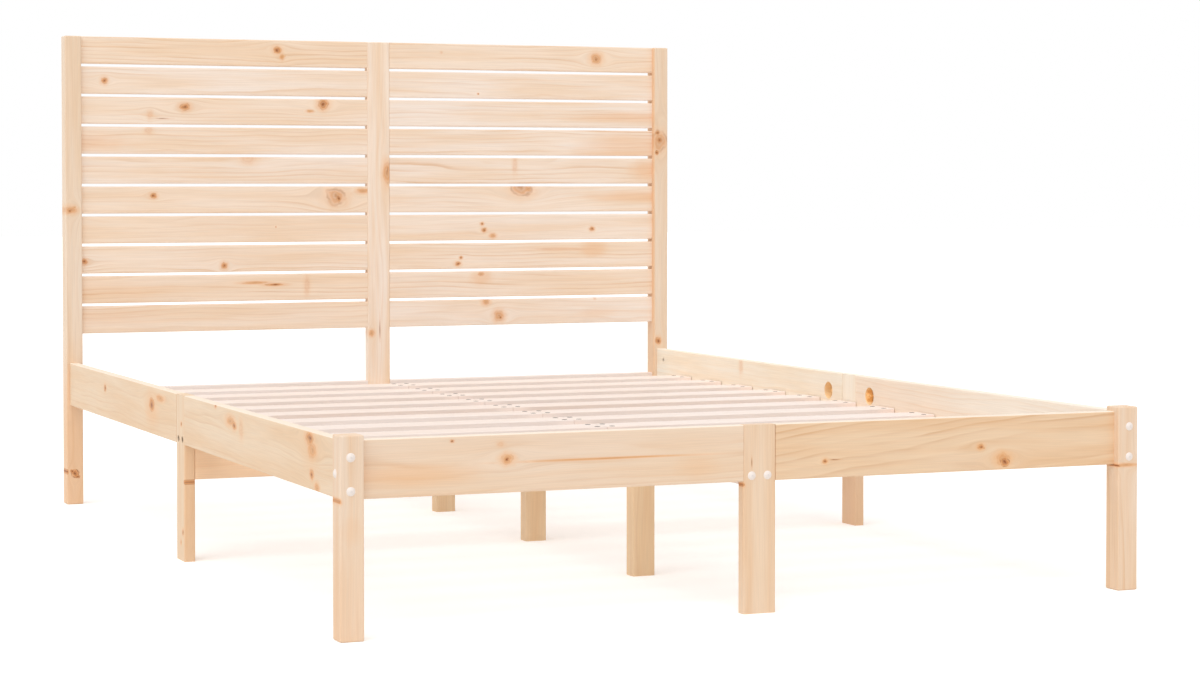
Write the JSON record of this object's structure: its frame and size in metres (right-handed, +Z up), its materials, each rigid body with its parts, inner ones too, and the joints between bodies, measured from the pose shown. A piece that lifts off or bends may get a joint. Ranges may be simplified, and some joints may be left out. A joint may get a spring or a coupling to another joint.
{
  "type": "bed frame",
  "caption": "Flat-pack pine bed frame with a plank headboard, split side and foot rails on square and flat legs, and a slatted base on side ledges and a centre beam, bolted together.",
  "frame": {"origin": "on the floor, in the middle of the frame's footprint", "axes": "+X across the bed to the right as seen from the foot, +Y from the foot to the headboard, +Z up"},
  "size_m": [1.411, 1.976, 1],
  "materials": {
    "pine_frame": "planed and sanded knotty pine, unfinished",
    "pine_headboard": "planed and sanded knotty pine, unfinished",
    "pine_slat": "planed pale pine, unfinished",
    "beech_dowel": "turned beech",
    "white_cap": "moulded white plastic",
    "zinc_steel": "bright zinc plate",
    "black_steel": "black phosphate"
  },
  "bodies": {
    "root": {"barrel_nuts": "zinc_steel", "beam_bolts": "zinc_steel", "beam_screws": "zinc_steel", "bed_slat_row_01": "pine_slat", "bed_slat_row_02": "pine_slat", "bed_slat_row_03": "pine_slat", "bed_slat_row_04": "pine_slat", "bed_slat_row_05": "pine_slat", "bed_slat_row_06": "pine_slat", "bed_slat_row_07": "pine_slat", "bed_slat_row_08": "pine_slat", "bed_slat_row_09": "pine_slat", "bed_slat_row_10": "pine_slat", "bed_slat_row_11": "pine_slat", "bolt_caps": "white_cap", "center_beam_foot": "pine_frame", "center_beam_head": "pine_frame", "center_leg_foot": "pine_frame", "center_leg_head": "pine_frame", "center_leg_middle": "pine_frame", "cross_beam_left": "pine_frame", "cross_beam_right": "pine_frame", "dowels": "beech_dowel", "foot_leg_left": "pine_frame", "foot_leg_middle": "pine_frame", "foot_leg_right": "pine_frame", "foot_rail_left": "pine_frame", "foot_rail_right": "pine_frame", "frame_bolts": "zinc_steel", "head_rail_left": "pine_frame", "head_rail_right": "pine_frame", "headboard_post_left": "pine_frame", "headboard_post_middle": "pine_frame", "headboard_post_right": "pine_frame", "headboard_slat_row_01": "pine_headboard", "headboard_slat_row_02": "pine_headboard", "headboard_slat_row_03": "pine_headboard", "headboard_slat_row_04": "pine_headboard", "headboard_slat_row_05": "pine_headboard", "headboard_slat_row_06": "pine_headboard", "headboard_slat_row_07": "pine_headboard", "headboard_slat_row_08": "pine_headboard", "headboard_slat_row_09": "pine_headboard", "headboard_slat_row_10": "pine_headboard", "joint_nuts": "zinc_steel", "joint_rods": "zinc_steel", "joint_washers": "zinc_steel", "ledge_bolts": "black_steel", "ledge_screws": "black_steel", "side_leg_left": "pine_frame", "side_leg_right": "pine_frame", "side_rail_left_foot": "pine_frame", "side_rail_left_head": "pine_frame", "side_rail_right_foot": "pine_frame", "side_rail_right_head": "pine_frame", "slat_ledge_left_foot": "pine_frame", "slat_ledge_left_head": "pine_frame", "slat_ledge_right_foot": "pine_frame", "slat_ledge_right_head": "pine_frame", "slat_screws": "black_steel"}
  },
  "joints": []
}
